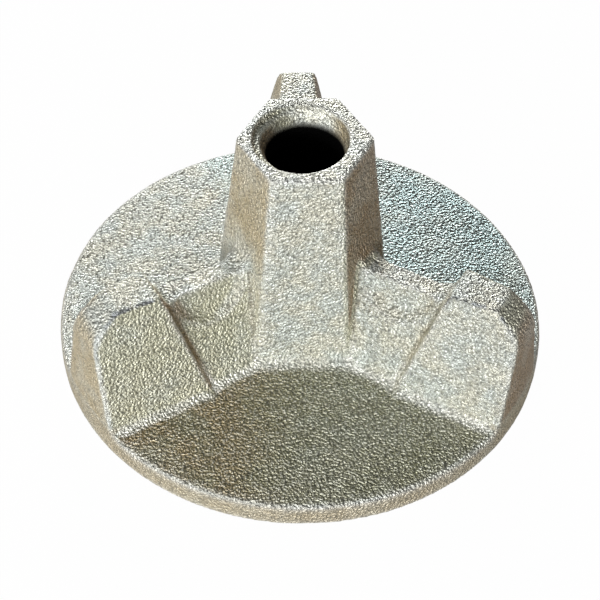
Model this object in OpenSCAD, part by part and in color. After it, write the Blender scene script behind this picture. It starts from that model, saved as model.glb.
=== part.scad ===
// Formwork wing nut: one iron casting that runs on a 15 mm formwork tie rod.
// A round flange carries a tapered hexagonal boss and three hammer lugs, and a
// scooped saddle ties each lug to a face of the hexagon.
// Millimetres. The origin is the middle of the flat underside, +Z runs up the bore,
// and one lug points along +Y.

/* [Flange] */
// Diameter of the round flange
flange_diameter = 110; // [95:1:130]
// Thickness of the flange at its rim
rim_thickness = 6.4; // [5:0.1:12]
// How much thicker the flange gets from its rim to the foot of the boss
flange_rise = 2.2; // [0.5:0.1:4]
// Rounding of the upper edge of the rim
rim_top_radius = 0.9; // [0.3:0.1:2]
// Rounding of the lower edge of the rim
rim_bottom_radius = 0.8; // [0.3:0.1:2]

/* [Boss] */
// Height of the nut from its underside to the top of the boss
nut_height = 60.5; // [50:0.5:80]
// Hexagon across its flats at the top of the boss
hexagon_flats = 25.2; // [24:0.1:32]
// Draft of the hexagon's faces, in degrees
hexagon_draft = 5.5; // [2:0.1:8]
// How far the hexagon's corners are rubbed off
corner_break = 0.3; // [0.1:0.05:1]

/* [Bore] */
// Bore over the crests of the coarse tie-rod thread
bore_diameter = 16.5; // [14:0.1:18]
// How much wider than the bore its lead-in is at the underside
lead_in_extra = 3; // [1:0.1:6]
// Depth of the lead-in at the underside
lead_in_depth = 1.6; // [0.5:0.1:4]

/* [Mouth of the bore] */
// Diameter of the shallow recess that the sand core leaves in the top of the boss
recess_diameter = 20.4; // [19:0.1:21]
// Depth of the recess
recess_depth = 1.3; // [0.5:0.1:3]
// How far the core sat off centre along X
recess_shift_x = -1; // [-1.2:0.1:1.2]
// How far the core sat off centre along Y
recess_shift_y = 0.2; // [-1.2:0.1:1.2]
// Width of the step between the recess and the countersink
recess_step = 0.6; // [0.2:0.1:0.8]
// Depth at which the countersink runs into the bore
countersink_depth = 4; // [3.5:0.1:8]

/* [Lugs] */
// Number of hammer lugs round the boss
lug_count = 3; // [2:1:3]
// Height of the top of a lug above the underside
lug_height = 36.7; // [28:0.1:45]
// How far the top of a lug stays inside the rim of the flange
lug_shoulder = 7.2; // [4:0.1:9]
// Length of the flat top of a lug
lug_top_length = 10.6; // [7:0.1:14]
// Width of a lug across the inner end of its top
lug_top_width = 8.7; // [6:0.1:12]
// How much each side of a lug closes in towards the rim, in degrees
lug_plan_taper = 3.5; // [0.5:0.1:6]
// Draft of the two long sides of a lug, in degrees
lug_side_draft = 12.8; // [6:0.1:15]
// Slope of the outer chamfer below the top of a lug, in degrees
lug_chamfer_angle = 42; // [25:1:60]
// Slope of the inner end of a lug away from upright, in degrees
lug_inner_draft = 14.8; // [5:0.1:20]
// Draft of the outer face of a lug, in degrees
lug_outer_draft = 2.5; // [0.5:0.1:5]
// Rounding between the outer face of a lug and its chamfer
lug_shoulder_radius = 8; // [1:0.1:12]
// Rounding of the inner and the outer edge of the top of a lug
lug_edge_radius = 1.4; // [0.3:0.1:2]

/* [Saddles] */
// How far the crest of a saddle lies below the top of a lug
crest_drop = 5; // [2:0.1:10]
// Width of a saddle across its crest, before it is scooped
saddle_crest_width = 6.1; // [5:0.1:8]
// Draft of the two long sides of a saddle, in degrees
saddle_side_draft = 17; // [10:0.1:20]
// Radius that carries the crest up into the boss
crest_boss_radius = 3.6; // [1:0.1:6]
// Radius that carries the crest up into the lug
crest_lug_radius = 1.5; // [0.5:0.1:2]
// Fillet between the side of a saddle and the face of the boss
saddle_boss_fillet = 2; // [1:0.1:3]
// Fillet between the side of a saddle and the inner end of its lug
saddle_lug_fillet = 2.5; // [1:0.1:4]

/* [Scoops] */
// Radius of the round scoop in each side of a saddle
scoop_radius = 9.2; // [6:0.1:10]
// Thickness of the rib left between two scoops
rib_thickness = 4.2; // [3:0.1:4.8]
// Draft of the floor of a scoop, in degrees
scoop_draft = 12.5; // [0:0.1:15]
// Radius between the floor and the wall of a scoop
scoop_floor_radius = 3.4; // [1:0.1:5]

/* [Fillets on the flange] */
// Fillet at the foot of the boss
boss_fillet = 2.6; // [1.5:0.1:4]
// Fillet at the foot of the lugs and the saddles
lug_fillet = 2.2; // [1.5:0.1:4]
// How deep a fillet runs into the flange, so that it ends in a clean line
fillet_sink = 0.25; // [0.2:0.05:0.4]

/* [Hidden] */
$fn = 96;

flange_radius = flange_diameter / 2;
bore_radius = bore_diameter / 2;
recess_radius = recess_diameter / 2;
cut_past = 1;
arc_steps = 6;
face_turn = 60;
corner_turn = face_turn / 2;
first_lug = 90;

// The hexagon's half width across its flats at a height above the underside.
function hexagon_half(z) = hexagon_flats / 2 + (nut_height - z) * tan(hexagon_draft);

// The boss stands where its faces meet the thick middle of the flange.
root_height = rim_thickness + flange_rise;
root_radius = hexagon_half(root_height);
flange_slope = atan(flange_rise / (flange_radius - root_radius));
buried = rim_thickness / 2;
wide = flange_diameter;

// The upper side of the flange at a distance from the bore.
function flange_top(r) = rim_thickness + (flange_radius - r) * tan(flange_slope);

lug_top_outer = flange_radius - lug_shoulder;
lug_top_inner = lug_top_outer - lug_top_length;
crest_height = lug_height - crest_drop;

// The inner end of a lug and the face of the boss at a height above the underside.
function lug_face(z) = lug_top_inner - (lug_height - z) * tan(lug_inner_draft);
scoop_middle = (hexagon_half(crest_height) + lug_face(crest_height)) / 2;

// A corner turned into an arc, with the lines a to p and p to b as its tangents.
function unit(v) = v / norm(v);
function corner_arc(a, p, b, r) =
    let (
        u = unit(a - p),
        v = unit(b - p),
        half = acos(u * v) / 2,
        middle = p + unit(u + v) * r / sin(half),
        first = p + u * r / tan(half) - middle,
        from = atan2(first.y, first.x),
        turn = cross(p - a, b - p) > 0 ? 180 - 2 * half : 2 * half - 180
    )
    [for (i = [0 : arc_steps])
        middle + r * [cos(from + turn * i / arc_steps), sin(from + turn * i / arc_steps)]];

// A closed outline with a radius for each of its corners, zero for a sharp one.
function rounded(points, radii) =
    let (n = len(points))
    [for (i = [0 : n - 1])
        each radii[i] > 0
            ? corner_arc(points[(i + n - 1) % n], points[i], points[(i + 1) % n], radii[i])
            : [points[i]]];

// A drafted section on a filleted foot. Its heights count from the flange's surface.
module footed_section(foot_half, draft, fillet, top) {
    top_half = foot_half - top * tan(draft);
    spread = foot_half + fillet;
    polygon(rounded(
        [
            [spread, -buried],
            [spread, 0],
            [foot_half, 0],
            [top_half, top],
            [-top_half, top],
            [-foot_half, 0],
            [-spread, 0],
            [-spread, -buried]
        ],
        [0, 0, fillet, 0, 0, fillet, 0, 0]));
}

// A profile drawn in distance from the bore and height, as a slab across the arm.
module arm_slab(points, radii) {
    rotate([90, 0, 0])
        linear_extrude(height = wide, center = true)
            polygon(rounded(points, radii));
}

module flange() {
    rim_top_middle = [flange_radius - rim_top_radius, rim_thickness - rim_top_radius];
    rim_bottom_middle = [flange_radius - rim_bottom_radius, rim_bottom_radius];
    rotate_extrude()
        union() {
            polygon([
                [0, 0],
                [rim_bottom_middle.x, 0],
                [flange_radius, rim_bottom_radius],
                [flange_radius, rim_top_middle.y],
                [rim_top_middle.x, flange_top(rim_top_middle.x)],
                [root_radius, root_height],
                [0, root_height]
            ]);
            intersection() {
                translate(rim_bottom_middle)
                    circle(r = rim_bottom_radius);
                square([flange_radius, rim_bottom_radius]);
            }
            intersection() {
                translate(rim_top_middle)
                    circle(r = rim_top_radius);
                translate([0, rim_top_middle.y])
                    square([flange_radius, rim_top_radius]);
            }
        }
}

// Two opposite faces of the boss, as far apart at the foot as given, with filleted feet.
module boss_slab(foot_half, draft) {
    base = root_height - fillet_sink;
    translate([0, 0, base])
        rotate([90, 0, 0])
            linear_extrude(height = wide, center = true)
                footed_section(foot_half, draft, boss_fillet, nut_height - base);
}

// The six faces of the hexagon look the way the lugs do and halfway between them.
// Six narrow flats, halfway between its faces, rub off its corners.
module boss() {
    foot_half = hexagon_half(root_height - fillet_sink);
    corner_half = foot_half / cos(corner_turn) - corner_break;
    corner_draft = atan(tan(hexagon_draft) / cos(corner_turn));
    rotate([0, 0, first_lug])
        intersection() {
            boss_slab(foot_half, hexagon_draft);
            rotate([0, 0, face_turn])
                boss_slab(foot_half, hexagon_draft);
            rotate([0, 0, 2 * face_turn])
                boss_slab(foot_half, hexagon_draft);
            rotate([0, 0, corner_turn])
                boss_slab(corner_half, corner_draft);
            rotate([0, 0, corner_turn + face_turn])
                boss_slab(corner_half, corner_draft);
            rotate([0, 0, corner_turn + 2 * face_turn])
                boss_slab(corner_half, corner_draft);
        }
}

// A drafted bar along the arm that follows the slope of the flange. Its width is
// given at one height and one distance from the bore.
module footed_bar(width, height, distance, draft) {
    drop = height - flange_top(distance) + fillet_sink;
    foot_half = width / 2 + drop * tan(draft);
    spare = crest_drop;
    translate([flange_radius, 0, rim_thickness - fillet_sink])
        rotate([0, flange_slope, 0])
            translate([-flange_radius, 0, 0])
                rotate([90, 0, 90])
                    linear_extrude(height = flange_diameter)
                        footed_section(foot_half, draft, lug_fillet, drop + spare);
}

// The bar that a lug is cut from, with one of its sides closing in towards the rim.
module lug_blank(turn) {
    pivot = lug_face(rim_thickness);
    closing = 2 * (lug_top_inner - pivot) * tan(lug_plan_taper);
    translate([pivot, 0, 0])
        rotate([0, 0, turn])
            translate([-pivot, 0, 0])
                footed_bar(lug_top_width + closing, lug_height, lug_top_outer, lug_side_draft);
}

module lug() {
    chamfer_slope = tan(lug_chamfer_angle);
    outer_slope = tan(lug_outer_draft);
    rise = lug_height - rim_thickness;
    shoulder_fall = (lug_shoulder - rise * outer_slope) * chamfer_slope / (1 - chamfer_slope * outer_slope);
    shoulder_reach = lug_top_outer + shoulder_fall / chamfer_slope;
    intersection() {
        lug_blank(lug_plan_taper);
        lug_blank(-lug_plan_taper);
        arm_slab(
            [
                [lug_face(buried), buried],
                [wide, buried],
                [wide, lug_height],
                [lug_top_inner, lug_height]
            ],
            [0, 0, 0, lug_edge_radius]);
        rotate_extrude()
            polygon(rounded(
                [
                    [0, buried],
                    [flange_radius, buried],
                    [flange_radius, rim_thickness],
                    [shoulder_reach, lug_height - shoulder_fall],
                    [lug_top_outer, lug_height],
                    [0, lug_height]
                ],
                [0, 0, 0, lug_shoulder_radius, lug_edge_radius, 0]));
    }
}

// The two planes of a corner look along side and end. The fillet between them runs
// through the given point of the corner's line, and sinks a little into both planes.
module corner_fillet(corner, side, end, radius) {
    along = unit(cross(side, end));
    tilt = acos(along.z);
    swing = atan2(along.y, along.x);
    across = [cos(tilt) * cos(swing), cos(tilt) * sin(swing), -sin(tilt)];
    level = [-sin(swing), cos(swing), 0];
    side_way = [side * across, side * level];
    end_way = [end * across, end * level];
    diagonal = 1 + side * end;
    reach = radius - fillet_sink;
    depth = reach + cut_past;
    translate(corner + (side + end) * reach / diagonal)
        rotate([0, tilt, swing])
            linear_extrude(height = 2 * nut_height, center = true)
                difference() {
                    polygon([
                        [0, 0],
                        -side_way * depth,
                        -(side_way + end_way) * depth / diagonal,
                        -end_way * depth
                    ]);
                    circle(r = radius);
                }
}

// The fillets on one side of a saddle, at the face of the boss and at the lug. The
// first stays behind the next face of the hexagon, the second behind the lug's side.
module saddle_fillets() {
    leaning = sin(saddle_side_draft) * sin(flange_slope);
    side = [leaning, cos(saddle_side_draft), sin(saddle_side_draft) * cos(flange_slope)];
    boss_end = hexagon_half(crest_height);
    lug_end = lug_face(crest_height);
    lug_half = saddle_crest_width / 2;
    boss_half = lug_half + (lug_end - boss_end) * side.x / side.y;
    intersection() {
        corner_fillet(
            [boss_end, boss_half, crest_height],
            [cos(hexagon_draft), 0, sin(hexagon_draft)],
            side,
            saddle_boss_fillet);
        rotate([0, 0, face_turn])
            boss_slab(hexagon_half(root_height - fillet_sink), hexagon_draft);
    }
    intersection() {
        corner_fillet(
            [lug_end, lug_half, crest_height],
            side,
            [-cos(lug_inner_draft), 0, sin(lug_inner_draft)],
            saddle_lug_fillet);
        lug_blank(-lug_plan_taper);
    }
}

module saddle() {
    into_boss = hexagon_half(crest_height) - bore_radius;
    into_lug = lug_top_length / 2;
    boss_end = hexagon_half(crest_height);
    lug_end = lug_face(crest_height);
    intersection() {
        union() {
            footed_bar(saddle_crest_width, crest_height, lug_end, saddle_side_draft);
            saddle_fillets();
            mirror([0, 1, 0])
                saddle_fillets();
        }
        arm_slab(
            [
                [boss_end - into_boss, buried],
                [lug_end + into_lug, buried],
                [lug_end + into_lug, crest_height + crest_lug_radius],
                [lug_end, crest_height + crest_lug_radius],
                [lug_end, crest_height],
                [boss_end, crest_height],
                [boss_end, crest_height + crest_boss_radius],
                [boss_end - into_boss, crest_height + crest_boss_radius]
            ],
            [0, 0, 0, 0, crest_lug_radius, crest_boss_radius, 0, 0]);
    }
}

// A dished cutter on one side of a saddle, turned about an axis square to its floor.
module scoop() {
    floor_radius = scoop_radius - scoop_floor_radius;
    translate([scoop_middle, rib_thickness / 2, crest_height])
        rotate([scoop_draft - 90, 0, 0])
            rotate_extrude()
                union() {
                    square([floor_radius, flange_radius]);
                    translate([0, scoop_floor_radius])
                        square([scoop_radius, flange_radius - scoop_floor_radius]);
                    intersection() {
                        translate([floor_radius, scoop_floor_radius])
                            circle(r = scoop_floor_radius);
                        square([scoop_radius, scoop_floor_radius]);
                    }
                }
}

module arm() {
    difference() {
        saddle();
        scoop();
        mirror([0, 1, 0])
            scoop();
    }
    lug();
}

module bore() {
    lead_in_slope = lead_in_extra / 2 / lead_in_depth;
    lead_in_radius = bore_radius + lead_in_slope * (lead_in_depth + cut_past);
    translate([0, 0, -cut_past])
        cylinder(h = nut_height + 2 * cut_past, r = bore_radius);
    translate([0, 0, -cut_past])
        cylinder(h = lead_in_depth + cut_past, r1 = lead_in_radius, r2 = bore_radius);
    translate([0, 0, nut_height - countersink_depth])
        cylinder(h = countersink_depth - recess_depth, r1 = bore_radius, r2 = recess_radius - recess_step);
    translate([recess_shift_x, recess_shift_y, nut_height - recess_depth])
        cylinder(h = recess_depth + cut_past, r = recess_radius);
}

// The whole casting.
module wing_nut_casting() {
    color("silver")
        difference() {
            union() {
                flange();
                boss();
                for (i = [0 : lug_count - 1])
                    rotate([0, 0, first_lug + i * 360 / lug_count])
                        arm();
            }
            bore();
        }
}

wing_nut_casting();
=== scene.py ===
# %% [markdown]
# # A formwork wing nut, cast in iron
#
# The real object is one iron casting: a round flange, a tapered six-sided boss and
# three hammer lugs tied to the boss by scooped saddles. It came out of a sand mould,
# so every face carries the print of the sand, every edge is a little round, and a thin
# yellowish zinc passivation colours it. The solid model gives the exact form. Here the
# casting gets its skin, its inner thread and its finish, and then a plain studio.
#
# All lengths are in metres. The solid stands on z = 0 with the bore along +Z and one
# lug along +Y, and nothing in this lesson moves it.

import math

import bmesh
import bpy
import numpy as np
from mathutils import Matrix, Vector, noise


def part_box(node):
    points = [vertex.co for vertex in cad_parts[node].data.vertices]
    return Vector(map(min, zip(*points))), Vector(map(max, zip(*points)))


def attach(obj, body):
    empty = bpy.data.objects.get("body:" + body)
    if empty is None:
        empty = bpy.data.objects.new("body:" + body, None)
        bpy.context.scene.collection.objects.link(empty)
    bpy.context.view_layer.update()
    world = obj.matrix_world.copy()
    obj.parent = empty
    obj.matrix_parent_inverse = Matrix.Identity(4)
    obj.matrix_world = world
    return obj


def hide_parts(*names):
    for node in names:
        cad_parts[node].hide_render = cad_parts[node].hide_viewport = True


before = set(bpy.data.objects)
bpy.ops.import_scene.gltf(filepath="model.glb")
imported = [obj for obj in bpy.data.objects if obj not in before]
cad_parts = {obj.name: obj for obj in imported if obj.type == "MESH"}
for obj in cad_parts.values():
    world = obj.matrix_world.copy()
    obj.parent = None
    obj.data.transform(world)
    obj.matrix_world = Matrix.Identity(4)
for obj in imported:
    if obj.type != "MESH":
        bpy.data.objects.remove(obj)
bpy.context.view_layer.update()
MM = 0.001
low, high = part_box("wing_nut_casting")
middle = (low + high) / 2
flange_radius = (high.x - low.x) / 2
nut_height = high.z - low.z
print("flange radius", round(flange_radius, 4), "height", round(nut_height, 4))

# %% [markdown]
# ## The camera
#
# The nut is looked at from the front and from well above, with a long lens, so that the
# mouth of the bore, two lugs and the whole flange show at once. The camera is placed by
# its turn round the part, its height angle and its distance from a point near the axis.
# That reads more plainly than three typed coordinates and three typed rotations.

# %% Camera
CAMERA_TURN = math.radians(-2.6775)
CAMERA_RISE = math.radians(48.556)
CAMERA_ROLL = math.radians(-1.6025)
CAMERA_DISTANCE = 400.12 * MM
LENS_LENGTH = 105.07
SENSOR_WIDTH = 36
NEAREST_SEEN = 10 * MM
LOOK_AT = Vector((-0.188 * MM, 0, 9.97 * MM))


def way_out(turn, rise):
    """The direction away from the part, at a turn round it and a height angle."""
    return Vector(
        (
            math.sin(turn) * math.cos(rise),
            -math.cos(turn) * math.cos(rise),
            math.sin(rise),
        )
    )


back = way_out(CAMERA_TURN, CAMERA_RISE)
level_right = Vector((math.cos(CAMERA_TURN), math.sin(CAMERA_TURN), 0))
level_up = back.cross(level_right)
right = level_right * math.cos(CAMERA_ROLL) - level_up * math.sin(CAMERA_ROLL)
up = level_right * math.sin(CAMERA_ROLL) + level_up * math.cos(CAMERA_ROLL)
place = LOOK_AT + back * CAMERA_DISTANCE

camera_data = bpy.data.cameras.new("studio_camera")
camera_data.lens = LENS_LENGTH
camera_data.sensor_width = SENSOR_WIDTH
camera_data.clip_start = NEAREST_SEEN
camera = bpy.data.objects.new("studio_camera", camera_data)
bpy.context.scene.collection.objects.link(camera)
camera.matrix_world = Matrix(
    (
        (right.x, up.x, back.x, place.x),
        (right.y, up.y, back.y, place.y),
        (right.z, up.z, back.z, place.z),
        (0, 0, 0, 1),
    )
)
bpy.context.scene.camera = camera
print("camera at", [round(v, 4) for v in place])

# %% [markdown]
# ## From a sharp solid to a casting
#
# Every edge of the real nut is a little round, because sand can't hold a sharp corner.
# The solid's edges could be bevelled, but its mesh has long thin triangles, which can't
# carry fine detail either. A voxel remesh cures both: it lays an even net over the solid,
# a little over half a millimetre to a quad, and rounds the edges by about as much as
# moulding sand does. Two smoothing steps finish the rounding.

# %% An even net over the solid
NET = 0.585 * MM
ROUNDING_STEPS = 2


def with_modifiers(source, name, steps):
    """A new object whose mesh is the source's, with the modifiers applied."""
    carrier = bpy.data.objects.new(name, source.data.copy())
    bpy.context.scene.collection.objects.link(carrier)
    for kind, values in steps:
        modifier = carrier.modifiers.new(kind.lower(), kind)
        for key, value in values.items():
            setattr(modifier, key, value)
    bpy.context.view_layer.update()
    depsgraph = bpy.context.evaluated_depsgraph_get()
    done = bpy.data.meshes.new_from_object(carrier.evaluated_get(depsgraph))
    carrier.modifiers.clear()
    carrier.data = done
    return carrier


casting = with_modifiers(
    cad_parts["wing_nut_casting"],
    "casting",
    [
        ("REMESH", {"mode": "VOXEL", "voxel_size": NET}),
        ("SMOOTH", {"factor": 0.5, "iterations": ROUNDING_STEPS}),
    ],
)
print("net:", len(casting.data.vertices), "points,", len(casting.data.polygons), "quads")

# %% [markdown]
# The underside is flat from the lead-in of the bore to the rim, and a net is wasted on
# it. That part of the net comes off, and one sheet of long triangles closes the hole, so
# the finer net can go where there is form.

# %% A plain sheet under the flange
SHEET_INSIDE = 14 * MM
SHEET_OUTSIDE = flange_radius - 2.5 * MM
FLAT_LEVEL = low.z + NET / 4


def close_with_a_sheet(mesh, level, inside, outside):
    """Takes off the flat faces below that level, between two radii, and fills the hole."""
    net = bmesh.new()
    net.from_mesh(mesh)
    flat = []
    for face in net.faces:
        centre = face.calc_center_median()
        if centre.z < level and inside < centre.xy.length < outside:
            flat.append(face)
    bmesh.ops.delete(net, geom=flat, context="FACES")
    border = [edge for edge in net.edges if edge.is_boundary]
    filled = bmesh.ops.triangle_fill(net, edges=border, normal=(0, 0, -1))["geom"]
    sheet = [part for part in filled if isinstance(part, bmesh.types.BMFace)]
    seams = [part for part in filled if isinstance(part, bmesh.types.BMEdge)]
    bmesh.ops.beautify_fill(net, faces=sheet, edges=seams, method="ANGLE")
    net.to_mesh(mesh)
    is_open = any(not edge.is_manifold for edge in net.edges)
    net.free()
    return len(flat), is_open


taken_off, is_open = close_with_a_sheet(casting.data, FLAT_LEVEL, SHEET_INSIDE, SHEET_OUTSIDE)
casting.data.calc_loop_triangles()
print(taken_off, "faces off,", len(casting.data.loop_triangles), "triangles, open:", is_open)

# %% [markdown]
# The next steps work on all the points at once, as arrays of numbers. That takes a
# fraction of the time that a loop over the points would take.

# %% Read and move all points at once
def read_points(mesh, what):
    """The mesh's points, or their normals, as an array with one row each."""
    flat = np.empty(len(mesh.vertices) * 3)
    mesh.vertices.foreach_get(what, flat)
    return flat.reshape(-1, 3)


def set_points(mesh, points):
    """Moves all points of the mesh."""
    mesh.vertices.foreach_set("co", points.ravel())
    mesh.update()


def rising(value, start, end):
    """0 below start, 1 above end, and a soft rise between them."""
    share = np.clip((value - start) / (end - start), 0, 1)
    return share * share * (3 - 2 * share)


def falling(value, start, end):
    """1 below start, 0 above end, and a soft fall between them."""
    return 1 - rising(value, start, end)


clean = read_points(casting.data, "co")
outward = read_points(casting.data, "normal")
print("read", len(clean), "points")

# %% [markdown]
# ## Where edges and corners are
#
# Rubbed edges with a painted highlight go on the high edges, and painted shade goes in the
# inner corners, with a painted highlight at their foot. Both are read from the smooth mesh:
# where a point stands out from the mean of its neighbours it is on an edge, and where it
# lies below it is in a corner. Each round of averaging takes in one more ring of
# neighbours, so the number of rounds sets how wide an edge counts.

# %% Edges and corners
EDGE_RINGS = 8
# A point that stands out by this much is fully on an edge.
EDGE_FULL = 0.22 * MM


def ring_means(mesh, values, rings):
    """The values after that many rounds of averaging over the net's edges."""
    ends = np.empty(len(mesh.edges) * 2, dtype=np.int64)
    mesh.edges.foreach_get("vertices", ends)
    ends = ends.reshape(-1, 2)
    count = np.bincount(ends.ravel(), minlength=len(values)).astype(float)[:, None]
    for _ in range(rings):
        total = np.zeros_like(values)
        for axis in range(values.shape[1]):
            for here, there in ((0, 1), (1, 0)):
                total[:, axis] += np.bincount(
                    ends[:, here], values[ends[:, there], axis], len(values)
                )
        values = (values + total / count) / 2
    return values


stand_out = ((clean - ring_means(casting.data, clean, EDGE_RINGS)) * outward).sum(1)
edge_amount = np.clip(stand_out / EDGE_FULL, 0, 1)
corner_amount = np.clip(-stand_out / EDGE_FULL, 0, 1)
for name, amount in (("edges", edge_amount), ("corners", corner_amount)):
    print("points on", name, int((amount > 0.5).sum()))

# %% [markdown]
# ## The coarse thread in the bore
#
# The nut runs on a tie rod whose thread is two rows of long, round-backed ribs, so the
# nut's groove is coarse and round. It could be cut with a swept cutter, but the net is
# there already, so the points of the bore's wall move outwards by a wave that climbs one
# pitch a turn. It fades out at the countersink and at the lead-in, as a cast thread does.

# %% The thread
THREAD_PITCH = 10 * MM
THREAD_DEPTH = 0.9 * MM
BORE_RADIUS = 8.25 * MM
# The groove's flank, in shares of half a pitch from the groove's middle.
GROOVE_FLANK = (0.234, 0.598)
BORE_WALL = (BORE_RADIUS + 0.35 * MM, BORE_RADIUS + 0.9 * MM)
THREAD_START = (low.z + 2.2 * MM, low.z + 5 * MM)
THREAD_END = (high.z - 7.5 * MM, high.z - 4.5 * MM)
NOT_ZERO = 1e-6

beside = clean[:, 0] - middle.x
behind = clean[:, 1] - middle.y
across = np.hypot(beside, behind)
phase = (clean[:, 2] / THREAD_PITCH - np.arctan2(behind, beside) / math.tau) % 1
groove = falling(np.abs(phase - 0.5) * 2, *GROOVE_FLANK)
in_bore = falling(across, *BORE_WALL)
in_bore *= rising(clean[:, 2], *THREAD_START)
in_bore *= falling(clean[:, 2], *THREAD_END)
cut = THREAD_DEPTH * groove * in_bore
from_axis = np.column_stack((beside, behind, np.zeros(len(clean))))
from_axis /= np.maximum(across, NOT_ZERO)[:, None]
threaded = clean + from_axis * cut[:, None]
print("deepest groove", round(float(cut.max()) / MM, 2), "mm")

# %% [markdown]
# ## Where the film took colour, and where light and shade are painted
#
# The passivation film isn't one colour. On the faces that turn to the left it is golden,
# with a painted warm reflection, and on those to the right it is brown, darkened as
# painted shade. It is mossy where a face turns only a little to the right. The front of
# the flange is painted dark olive, as shade: the dark reflection of the boss and the arms,
# browner towards the left. At the right the flange is bluish, painted lighter as sheen.
# The rim's tan is partly a painted darker reflection. The masks for this could be painted,
# but they are read from where a point lies and which way it faces, so each one follows
# the form with a soft edge. The material breaks them up later.

# %% Which way the points face
FACING_RINGS = 3
UPWARD = (0.8, 0.95)
flat_way = ring_means(casting.data, outward, FACING_RINGS)
flat_way /= np.linalg.norm(flat_way, axis=1)[:, None]
to_right, to_back, skyward = flat_way.T
to_top = rising(skyward, *UPWARD)
height_over = clean[:, 2] - low.z
print("facing up:", round(float(to_top.mean()), 3), "of the points")

# %% The rim and the top of the flange
FLANGE_TOP = (11 * MM, 14 * MM)
RIM_RADII = (flange_radius - 3 * MM, flange_radius - 1 * MM)
RIM_TOP = (7 * MM, 9 * MM)
RIM_TILT = (0.4, 0.8)
masks = {}
on_flange = to_top * falling(height_over, *FLANGE_TOP)
# The rim's tan below is partly its film's tint and partly a painted darker reflection.
on_rim = rising(across, *RIM_RADII)
on_rim *= falling(height_over, *RIM_TOP)
on_rim *= falling(skyward, *RIM_TILT)
masks["on_flange"] = on_flange
masks["rim"] = on_rim
print("flange and rim:", round(float((on_flange + on_rim).mean()), 3), "of the points")

# %% Golden film with painted reflection, brown film with painted shade, and mossy film on the steep faces
LEFTWARD = (0.5, 0.85)
RIGHTWARD = (0.5, 0.8)
HALF_RIGHTWARD = (0.1, 0.4)
BY_THE_BOSS = (20 * MM, 26 * MM)
LOW_DOWN = (26 * MM, 44 * MM)
RIGHT_HALF = (8 * MM, 16 * MM)
THINNER_BY_THE_BOSS = 0.75
THINNER_AT_RIGHT = 0.5
# Painted light: the golden film takes a painted warm reflection on faces turned left, and the
# brown film is darkened as painted shade on faces turned right.
golden_and_painted_reflection = rising(-to_right, *LEFTWARD) * (1 - on_rim)
near_foot = falling(across, *BY_THE_BOSS) * falling(height_over, *LOW_DOWN)
golden_and_painted_reflection *= 1 - THINNER_BY_THE_BOSS * near_foot
golden_and_painted_reflection *= 1 - THINNER_AT_RIGHT * rising(beside, *RIGHT_HALF)
umber_and_painted_shade = rising(to_right, *RIGHTWARD) * (1 - on_rim)
mossy = rising(to_right, *HALF_RIGHTWARD) * (1 - umber_and_painted_shade) * (1 - on_rim) * (1 - to_top)
masks["golden_and_painted_reflection"] = golden_and_painted_reflection
masks["umber_and_painted_shade"] = umber_and_painted_shade
masks["mossy"] = mossy
print("steep faces:", round(float((golden_and_painted_reflection + umber_and_painted_shade + mossy).mean()), 3), "of the points")

# %% Olive and brown painted shade in front and bluish film with painted sheen, on the flange
ARM_TURN = math.radians(30)
FRONT_BAY = (1 * MM, 7 * MM)
RIGHT_BAY = (1 * MM, 9 * MM)
TOWARDS_LEFT = (-4 * MM, 26 * MM)
in_front = -behind * math.cos(ARM_TURN) - np.abs(beside) * math.sin(ARM_TURN)
at_right = beside * math.cos(ARM_TURN) + behind * math.sin(ARM_TURN)
# Painted shade: the front of the flange is painted dark olive, the dark reflection of the
# boss and the arms, browner towards the left. The bluish right of the flange is painted
# lighter, as sheen.
olive_painted_shade = on_flange * rising(in_front, *FRONT_BAY)
masks["olive_painted_shade"] = olive_painted_shade
masks["brown_painted_shade"] = olive_painted_shade * rising(-beside, *TOWARDS_LEFT)
masks["bluish_and_painted_sheen"] = on_flange * rising(at_right, *RIGHT_BAY) * (1 - olive_painted_shade)
print("olive:", round(float(olive_painted_shade.mean()), 3), "of the points")

# %% [markdown]
# ## Where wear, painted shade and painted highlights lie
#
# Corners and edges tell the rest. Where the boss and the arms stand on the flange, the
# corner is painted pale, as a painted highlight of the light that the floor and the flange
# throw there. Higher up, the corners get brown painted shade instead. The edges are rubbed
# bright, partly as painted highlight, except on the lugs' tops, where the front edges get
# a painted dark bluish reflection. The recess at the boss's top is smoother than the rest,
# and below it the bore is in the dark.

# %% Feet, corners and edges: painted highlight, painted shade, rubbed edges and painted reflection
FOOT_CORNER = (0.15, 0.5)
FOOT_TOP = (12 * MM, 17 * MM)
SHADED_CORNER = (0.3, 0.85)
CROWN_HEIGHT = (33 * MM, 35 * MM)
CROWN_RADII = (28 * MM, 32 * MM)
FRONTWARD = (0.15, 0.5)
REFLECTING_EDGE = (0.5, 0.85)
# Painted highlight: the low inner corners are painted pale for the light that the floor and
# the flange throw into them.
foot = rising(corner_amount, *FOOT_CORNER) * falling(height_over, *FOOT_TOP)
lug_crown = rising(height_over, *CROWN_HEIGHT) * rising(across, *CROWN_RADII)
# Painted reflection: the lugs' front top edges are painted a dark bluish reflection.
reflecting_front_edge = rising(edge_amount, *REFLECTING_EDGE) * lug_crown * rising(-to_back, *FRONTWARD)
masks["foot"] = foot
# Painted shade: the higher inner corners are painted dark brown.
masks["painted_corner_shade"] = rising(corner_amount, *SHADED_CORNER) * (1 - foot)
# The edges are painted lighter: partly rubbed zinc, partly a painted highlight.
masks["rubbed"] = edge_amount * (1 - lug_crown)
masks["painted_blue_reflection"] = reflecting_front_edge
print("hammered:", round(float(reflecting_front_edge.mean()), 4), "of the points")

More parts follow.
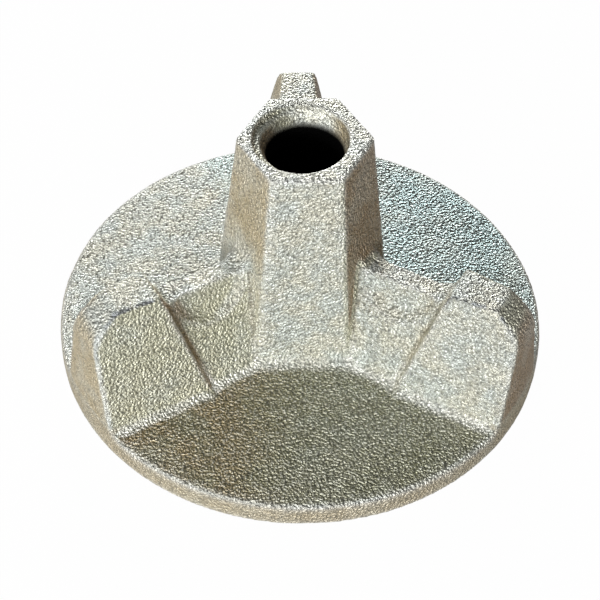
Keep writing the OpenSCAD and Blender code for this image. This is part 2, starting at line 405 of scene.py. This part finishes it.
# %% The mouth and the dark bore
MOUTH_RADII = (9.8 * MM, 10.6 * MM)
MOUTH_FLOOR = (nut_height - 4.6 * MM, nut_height - 3.9 * MM)
DARK_RADII = (BORE_RADIUS + 1.2 * MM, BORE_RADIUS + 2.0 * MM)
DARK_TOP = (nut_height - 4.6 * MM, nut_height - 2.9 * MM)
masks["in_mouth"] = rising(height_over, *MOUTH_FLOOR) * falling(across, *MOUTH_RADII)
masks["deep"] = falling(height_over, *DARK_TOP) * falling(across, *DARK_RADII)
print("in the dark:", round(float(masks["deep"].mean()), 3), "of the points")

# %% [markdown]
# The masks go into the mesh as named attributes, one number a point, because that is how
# a material can read them. An image would need the casting laid out flat first.

# %% Keep the masks in the mesh
for name, mask in masks.items():
    layer = casting.data.attributes.new(name, "FLOAT", "POINT")
    layer.data.foreach_set("value", mask.astype(np.float32))
    print(name, "on", round(float(mask.mean()), 3), "of the points")

# %% [markdown]
# ## The print of the sand
#
# Moulding sand leaves two things on a casting: slow waves, where the mould gave a
# little, and a close pebbled skin from the grains. The waves and the coarser pebbles are
# real moves of the mesh along its normals. The finest grain is smaller than the net can
# carry, so it comes later, as bump in the material.

# %% Sand skin as real relief
WAVE_SIZE = 9 * MM
WAVE_DEPTH = 0.10 * MM
WAVE_SHIFT = 3.7
PEBBLE_SIZE = 1.7 * MM
PEBBLE_DEPTH = 0.05 * MM
PEBBLE_SHIFT = 11.3
SMOOTHER_IN_BORE = 0.7
OVER_THE_SHEET = (low.z + 0.3 * MM, low.z + 1.2 * MM)
TOP_SPARE = 0.3 * MM


def noise_at(points, size, shift):
    """Smooth noise from about -1 to 1 at each point, with features of that size."""
    shifted = points / size + shift
    return np.array([noise.noise(Vector(p)) for p in shifted])


set_points(casting.data, threaded)
relief = WAVE_DEPTH * noise_at(threaded, WAVE_SIZE, WAVE_SHIFT)
relief += PEBBLE_DEPTH * noise_at(threaded, PEBBLE_SIZE, PEBBLE_SHIFT)
relief *= 1 - SMOOTHER_IN_BORE * in_bore
relief *= rising(clean[:, 2], *OVER_THE_SHEET)
skinned = threaded + read_points(casting.data, "normal") * relief[:, None]
skinned[:, 2] = np.clip(skinned[:, 2], low.z, high.z + TOP_SPARE)
set_points(casting.data, skinned)
casting.data.shade_smooth()
lowest, highest = float(relief.min()) / MM, float(relief.max()) / MM
print("relief from", round(lowest, 3), "to", round(highest, 3), "mm")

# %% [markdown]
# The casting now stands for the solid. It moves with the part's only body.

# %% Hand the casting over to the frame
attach(casting, "root")
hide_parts("wing_nut_casting")
print("replaces", "wing_nut_casting")

# %% [markdown]
# ## Helpers for materials
#
# A material is a graph. These helpers add a node, set its plain values and join it in
# one line each, so that the cells below read as a list of what the finish is made of.
# The grain and the patches are node groups, each of which a material places with its
# own values.

# %% Node helpers
def add(tree, kind, values=None, links=None):
    """Adds a node, sets its plain values and joins its inputs."""
    node = tree.nodes.new(kind)
    for name, value in (values or {}).items():
        if hasattr(node, name):
            setattr(node, name, value)
        else:
            node.inputs[name].default_value = value
    for name, source in (links or {}).items():
        tree.links.new(source, node.inputs[name])
    return node


def math_node(tree, operation, *inputs, clamp=False):
    """A Math node whose inputs are numbers or other nodes' outputs."""
    node = tree.nodes.new("ShaderNodeMath")
    node.operation = operation
    node.use_clamp = clamp
    for slot, value in enumerate(inputs):
        if isinstance(value, (int, float)):
            node.inputs[slot].default_value = value
        else:
            tree.links.new(value, node.inputs[slot])
    return node.outputs[0]


def ramp(tree, source, stops):
    """Maps start to first and end to last, softly. The stops are in that order."""
    start, end, first, last = stops
    limits = {"From Min": start, "From Max": end, "To Min": first, "To Max": last}
    values = {"interpolation_type": "SMOOTHSTEP", **limits}
    return add(tree, "ShaderNodeMapRange", values, {"Value": source}).outputs["Result"]


def noise_node(tree, values, links=None):
    """A noise in the part's own coordinates, with plain values and joined inputs."""
    where = add(tree, "ShaderNodeTexCoord").outputs["Object"]
    joined = {"Vector": where, **(links or {})}
    return add(tree, "ShaderNodeTexNoise", values, joined).outputs["Fac"]


def new_group(name, inputs, outputs):
    """A shader node group of plain numbers. Returns it with its two end nodes."""
    group = bpy.data.node_groups.new(name, "ShaderNodeTree")
    kind = "NodeSocketFloat"
    for socket_name, value in inputs:
        socket = group.interface.new_socket(socket_name, in_out="INPUT", socket_type=kind)
        socket.default_value = value
    for socket_name in outputs:
        group.interface.new_socket(socket_name, in_out="OUTPUT", socket_type=kind)
    start = group.nodes.new("NodeGroupInput")
    end = group.nodes.new("NodeGroupOutput")
    return group, start, end


print("helpers: add, math_node, ramp, noise_node, new_group")

# %% [markdown]
# ## Grain
#
# The finest print of the sand is a field of small rounded grains of uneven size. Two
# noises and a cell pattern give the height. The same field also says where a grain's top
# is, because zinc is brighter on the tops, and where its pits are, which take a darker
# film with painted shade.

# %% Group: sand grain
FINE_SHARE = 0.15
CELL_SHARE = 0.6
GRAIN_LEVEL = 0.25
PLAIN_NOISE = {"Detail": 1.0, "Roughness": 0.5}
TOPS_START, TOPS_FULL = 0.24, 0.46
PITS_START, PITS_FULL = 0.19, 0.0

grain, grain_in, grain_out = new_group(
    "sand_grain",
    [("Fine Scale", 2000.0), ("Grain Scale", 1000.0)],
    ["Height", "Tops", "Pits"],
)
grain_scale = grain_in.outputs["Grain Scale"]
fine = noise_node(grain, PLAIN_NOISE, {"Scale": grain_in.outputs["Fine Scale"]})
coarse = noise_node(grain, PLAIN_NOISE, {"Scale": grain_scale})
where = add(grain, "ShaderNodeTexCoord").outputs["Object"]
cells = add(
    grain,
    "ShaderNodeTexVoronoi",
    {"Randomness": 1.0},
    {"Vector": where, "Scale": grain_scale},
).outputs["Distance"]
mixed = math_node(grain, "ADD", math_node(grain, "MULTIPLY", fine, FINE_SHARE), coarse)
sunk = math_node(grain, "MULTIPLY", cells, CELL_SHARE)
height = math_node(grain, "SUBTRACT", mixed, sunk)
for name, source in (
    ("Height", math_node(grain, "SUBTRACT", height, GRAIN_LEVEL)),
    ("Tops", ramp(grain, height, (TOPS_START, TOPS_FULL, 0, 1))),
    ("Pits", ramp(grain, height, (PITS_START, PITS_FULL, 0, 1))),
):
    grain.links.new(source, grain_out.inputs[name])
print("group", grain.name)

# %% [markdown]
# ## Patches
#
# A mask from the mesh is too even to look like something that dried. This group lets a
# noise bite pieces out of a mask. Its break-up says how much of the mask a bite takes.

# %% Group: patches
BITE_START, BITE_FULL = 0.4, 0.65
CLOUDY_NOISE = {"Detail": 3.0, "Roughness": 0.6}

patches, patches_in, patches_out = new_group(
    "patches",
    [("Mask", 1.0), ("Scale", 120.0), ("Break-up", 0.5)],
    ["Mask"],
)
patch_noise = noise_node(
    patches, CLOUDY_NOISE, {"Scale": patches_in.outputs["Scale"]}
)
bites = ramp(patches, patch_noise, (BITE_START, BITE_FULL, 0, 1))
eaten = math_node(patches, "MULTIPLY", bites, patches_in.outputs["Break-up"])
kept = math_node(patches, "SUBTRACT", 1.0, eaten)
broken = math_node(patches, "MULTIPLY", patches_in.outputs["Mask"], kept, clamp=True)
patches.links.new(broken, patches_out.inputs["Mask"])
print("group", patches.name)

# %% [markdown]
# ## The finish
#
# Passivated zinc on rough iron is mostly metal under a thin powdery film. Where the film
# is thin it is greyish cream, now cooler and now warmer, and a slow cloud mixes the two.
# A flat colour would look like paint, so each step below blends one more layer over the
# last: the film tints with their painted shade, sheen and reflections, the grain's bright
# tops and dark pits with painted shade in them, and then the painted shade in the corners,
# the rubbed edges with their painted highlight, the painted reflection on the lugs' edges
# and the dark of the bore.

# %% Finish: the thin film
COOL_FILM = (0.66, 0.70, 0.66)
WARM_FILM = (0.71, 0.70, 0.60)
CLOUD_SCALE = 130.0
CLOUD_START, CLOUD_FULL = 0.35, 0.65


def blend_colour(tree, share, first, second):
    """Mixes two colours, each of them a constant or another node's output."""
    node = tree.nodes.new("ShaderNodeMix")
    node.data_type = "RGBA"
    for name, value in (("Factor_Float", share), ("A_Color", first), ("B_Color", second)):
        socket = next(s for s in node.inputs if s.identifier == name)
        if isinstance(value, bpy.types.NodeSocket):
            tree.links.new(value, socket)
        else:
            socket.default_value = (*value, 1)
    return next(s for s in node.outputs if s.identifier == "Result_Color")


finish = bpy.data.materials.new("passivated_zinc_casting")
finish.use_nodes = True
tree = finish.node_tree
shader = next(n for n in tree.nodes if n.type == "BSDF_PRINCIPLED")
cloud = noise_node(tree, {"Scale": CLOUD_SCALE, **CLOUDY_NOISE})
warmth = ramp(tree, cloud, (CLOUD_START, CLOUD_FULL, 0, 1))
base = blend_colour(tree, warmth, COOL_FILM, WARM_FILM)
print("thin film from", COOL_FILM, "to", WARM_FILM)

# %% Finish: the films, with painted shade, sheen and reflections
# The columns are the mask, the scale and break-up of its patches, its cover and colour.
FILMS_AND_PAINTED_LIGHT = (
    # The golden film carries a painted warm reflection, the brown one painted shade.
    ("golden_and_painted_reflection", 110.0, 0.35, 0.95, (0.53, 0.44, 0.275)),
    ("umber_and_painted_shade", 110.0, 0.25, 0.95, (0.36, 0.25, 0.14)),
    ("mossy", 110.0, 0.4, 0.9, (0.62, 0.61, 0.46)),
    # The olive and the brown below are painted shade, and the bluish is partly painted sheen.
    ("olive_painted_shade", 70.0, 0.25, 0.95, (0.335, 0.33, 0.215)),
    ("brown_painted_shade", 90.0, 0.7, 0.8, (0.40, 0.295, 0.16)),
    ("bluish_and_painted_sheen", 60.0, 0.5, 0.85, (0.66, 0.86, 0.87)),
    # A painted highlight in the low inner corners.
    ("foot", 110.0, 0.3, 0.85, (0.92, 0.92, 0.87)),
    # The rim's tan is partly a painted darker reflection.
    ("rim", 90.0, 0.2, 0.95, (0.50, 0.43, 0.295)),
)


def read(tree, name):
    """One of the masks that the mesh carries."""
    return add(tree, "ShaderNodeAttribute", {"attribute_name": name}).outputs["Fac"]


def use_group(tree, group, values, links=None):
    """Places a group in a material with its own values."""
    node = tree.nodes.new("ShaderNodeGroup")
    node.node_tree = group
    for name, value in values.items():
        node.inputs[name].default_value = value
    for name, source in (links or {}).items():
        tree.links.new(source, node.inputs[name])
    return node


def cover(tree, base, mask, amount, colour):
    """The base with that amount of a colour over it, where the mask says."""
    return blend_colour(tree, math_node(tree, "MULTIPLY", mask, amount), base, colour)


def cover_in_patches(tree, base, colour_layer):
    """The base with one colour layer over it, broken up into patches."""
    name, scale, break_up, amount, colour = colour_layer
    patch = use_group(
        tree, patches, {"Scale": scale, "Break-up": break_up}, {"Mask": read(tree, name)}
    )
    return cover(tree, base, patch.outputs["Mask"], amount, colour)


for colour_layer in FILMS_AND_PAINTED_LIGHT:
    base = cover_in_patches(tree, base, colour_layer)
print("films", [colour_layer[0] for colour_layer in FILMS_AND_PAINTED_LIGHT])

# %% [markdown]
# The grain shows more on the flange than on the steep faces. Both its bright tops and
# its dark pits, with their painted shade, are stronger there.

# %% Finish: bright tops and dark pits
FINE_SCALE = 3000.0
GRAIN_SCALE = 1600.0
BRIGHT_ZINC = (0.80, 0.81, 0.76)
PIT_FILM_AND_SHADE = (0.20, 0.20, 0.17)
TOPS_ON_STEEP, TOPS_ON_FLANGE = 0.15, 0.4
PITS_ON_STEEP, PITS_ON_FLANGE = 0.5, 0.75

skin = use_group(tree, grain, {"Fine Scale": FINE_SCALE, "Grain Scale": GRAIN_SCALE})
flange_share = read(tree, "on_flange")
tops_amount = ramp(tree, flange_share, (0, 1, TOPS_ON_STEEP, TOPS_ON_FLANGE))
pits_amount = ramp(tree, flange_share, (0, 1, PITS_ON_STEEP, PITS_ON_FLANGE))
base = cover(tree, base, skin.outputs["Tops"], tops_amount, BRIGHT_ZINC)
# The dark pits are partly darker film and partly painted shade.
base = cover(tree, base, skin.outputs["Pits"], pits_amount, PIT_FILM_AND_SHADE)
print("tops", (TOPS_ON_STEEP, TOPS_ON_FLANGE), "pits", (PITS_ON_STEEP, PITS_ON_FLANGE))

# %% [markdown]
# Last come the painted shade in the corners, the rubbed edges with their painted highlight
# and the painted dark reflection on the lugs' front edges. The bore goes nearly black from
# its countersink down, because little light reaches its wall.

# %% Finish: painted corner shade, rubbed and highlit edges, painted blue reflection and the dark bore
CORNER_SHADE_BROWN = (0.22, 0.19, 0.12)
CORNER_SHADE_COVER = 0.6
RUBBED_AND_HIGHLIT_ZINC = (0.84, 0.85, 0.82)
RUB_AND_HIGHLIGHT_COVER = 0.5
# The columns are those of the films above. This layer paints a dark bluish reflection on the
# lugs' front edges.
BLUE_REFLECTION_LAYER = ("painted_blue_reflection", 260.0, 0.9, 0.75, (0.22, 0.24, 0.29))
DARK = (0.004, 0.004, 0.004)

# Painted shade in the inner corners.
base = cover(tree, base, read(tree, "painted_corner_shade"), CORNER_SHADE_COVER, CORNER_SHADE_BROWN)
# Rubbed edges with a painted highlight.
base = cover(tree, base, read(tree, "rubbed"), RUB_AND_HIGHLIGHT_COVER, RUBBED_AND_HIGHLIT_ZINC)
# A painted dark bluish reflection on the lugs' front edges.
base = cover_in_patches(tree, base, BLUE_REFLECTION_LAYER)
deep_share = read(tree, "deep")
base = blend_colour(tree, deep_share, base, DARK)
tree.links.new(base, shader.inputs["Base Color"])
print("painted_corner_shade", CORNER_SHADE_COVER, "rubbed", RUB_AND_HIGHLIGHT_COVER, "painted blue reflection", BLUE_REFLECTION_LAYER)

# %% [markdown]
# Three quarters of the skin counts as metal, which gives the sheen of zinc, and the rest
# as powdery film. In the bore both give way to a dull black, so no lamp shines on its
# wall. The grain stands out most on the flange and least in the recess of the mouth.

# %% Finish: metal, roughness and bump
METAL_SHARE = 0.76
ROUGHNESS, DEEP_ROUGHNESS = 0.5, 0.9
REFLECTION, DEEP_REFLECTION = 0.5, 0.05
GRAIN_HEIGHT = 0.8 * MM
TALLER_ON_FLANGE = 1.5
LOWER_IN_MOUTH = 0.4

not_deep = math_node(tree, "SUBTRACT", 1.0, deep_share)
taller = ramp(tree, flange_share, (0, 1, 1.0, TALLER_ON_FLANGE))
lower = ramp(tree, read(tree, "in_mouth"), (0, 1, 1.0, LOWER_IN_MOUTH))
evened = math_node(tree, "MULTIPLY", taller, lower)
grain_height = math_node(tree, "MULTIPLY", skin.outputs["Height"], evened)
bump = add(
    tree,
    "ShaderNodeBump",
    {"Strength": 1.0, "Distance": GRAIN_HEIGHT},
    {"Height": grain_height},
)
for name, source in (
    ("Metallic", math_node(tree, "MULTIPLY", not_deep, METAL_SHARE)),
    ("Roughness", ramp(tree, deep_share, (0, 1, ROUGHNESS, DEEP_ROUGHNESS))),
    ("Specular IOR Level", ramp(tree, deep_share, (0, 1, REFLECTION, DEEP_REFLECTION))),
    ("Normal", bump.outputs["Normal"]),
):
    tree.links.new(source, shader.inputs[name])
casting.data.materials.clear()
casting.data.materials.append(finish)
print("material", finish.name)

# %% [markdown]
# ## The studio
#
# A rough casting shows its form by light that rakes over it. A picture of a room could
# light it, but a few square lamps are easier to think about. The key hangs low at the
# front left, a second lamp fills in from the front, and one behind the part gives the
# upper faces their sheen. A weak one at the left lifts the faces that turn that way, and
# a faint light from all sides softens the shadows. The floor is a pale sheet that turns
# nearly white for the camera alone, so it still throws its natural light at the part.

# %% Floor
FLOOR_REACH = 3.0
FLOOR_GREY = (0.85, 0.85, 0.85, 1)
FLOOR_ROUGHNESS = 0.8
WHITE_SHARE = 0.985

corner_signs = ((-1, -1), (1, -1), (1, 1), (-1, 1))
floor_mesh = bpy.data.meshes.new("studio_floor")
floor_mesh.from_pydata(
    [(x * FLOOR_REACH, y * FLOOR_REACH, 0) for x, y in corner_signs], [], [(0, 1, 2, 3)]
)
floor = bpy.data.objects.new("studio_floor", floor_mesh)
floor.location.z = low.z
bpy.context.scene.collection.objects.link(floor)
floor_finish = bpy.data.materials.new("studio_floor")
floor_finish.use_nodes = True
floor_tree = floor_finish.node_tree
floor_shader = next(n for n in floor_tree.nodes if n.type == "BSDF_PRINCIPLED")
floor_output = next(n for n in floor_tree.nodes if n.type == "OUTPUT_MATERIAL")
floor_shader.inputs["Base Color"].default_value = FLOOR_GREY
floor_shader.inputs["Roughness"].default_value = FLOOR_ROUGHNESS
white = add(floor_tree, "ShaderNodeEmission", {"Strength": 1.0})
rays = add(floor_tree, "ShaderNodeLightPath")
seen = math_node(floor_tree, "MULTIPLY", rays.outputs["Is Camera Ray"], WHITE_SHARE)
paper = add(floor_tree, "ShaderNodeMixShader", links={"Fac": seen})
floor_tree.links.new(floor_shader.outputs[0], paper.inputs[1])
floor_tree.links.new(white.outputs[0], paper.inputs[2])
floor_tree.links.new(paper.outputs[0], floor_output.inputs["Surface"])
floor_mesh.materials.append(floor_finish)
print("floor at", round(floor.location.z, 4))

# %% World and lamps
WORLD_STRENGTH = 0.08
LAMP_DISTANCE = 0.9
LAMP_SIZE = 0.3
AIM_HEIGHT = 20 * MM
# The columns are the name, the turn and height angle in degrees, and the power in watts.
LAMPS = (
    ("key_softbox", -34, 17, 4.9),
    ("front_softbox", 0, 12, 4.5),
    ("back_softbox", 180, 18, 5.2),
    ("left_softbox", -98, 22, 1.5),
)

world = bpy.data.worlds.new("studio")
bpy.context.scene.world = world
world.use_nodes = True
background = next(n for n in world.node_tree.nodes if n.type == "BACKGROUND")
background.inputs["Color"].default_value = (1, 1, 1, 1)
background.inputs["Strength"].default_value = WORLD_STRENGTH


def soft_lamp(name, turn, rise, power):
    """A square lamp that hangs round the part and faces it."""
    direction = way_out(math.radians(turn), math.radians(rise))
    data = bpy.data.lights.new(name, "AREA")
    data.size = LAMP_SIZE
    data.energy = power
    lamp = bpy.data.objects.new(name, data)
    lamp.location = direction * LAMP_DISTANCE + Vector((0, 0, AIM_HEIGHT))
    lamp.rotation_euler = direction.to_track_quat("Z", "Y").to_euler()
    bpy.context.scene.collection.objects.link(lamp)


for lamp_values in LAMPS:
    soft_lamp(*lamp_values)
bpy.context.scene.view_settings.view_transform = "Standard"
print("lamps", [name for name, *_ in LAMPS])
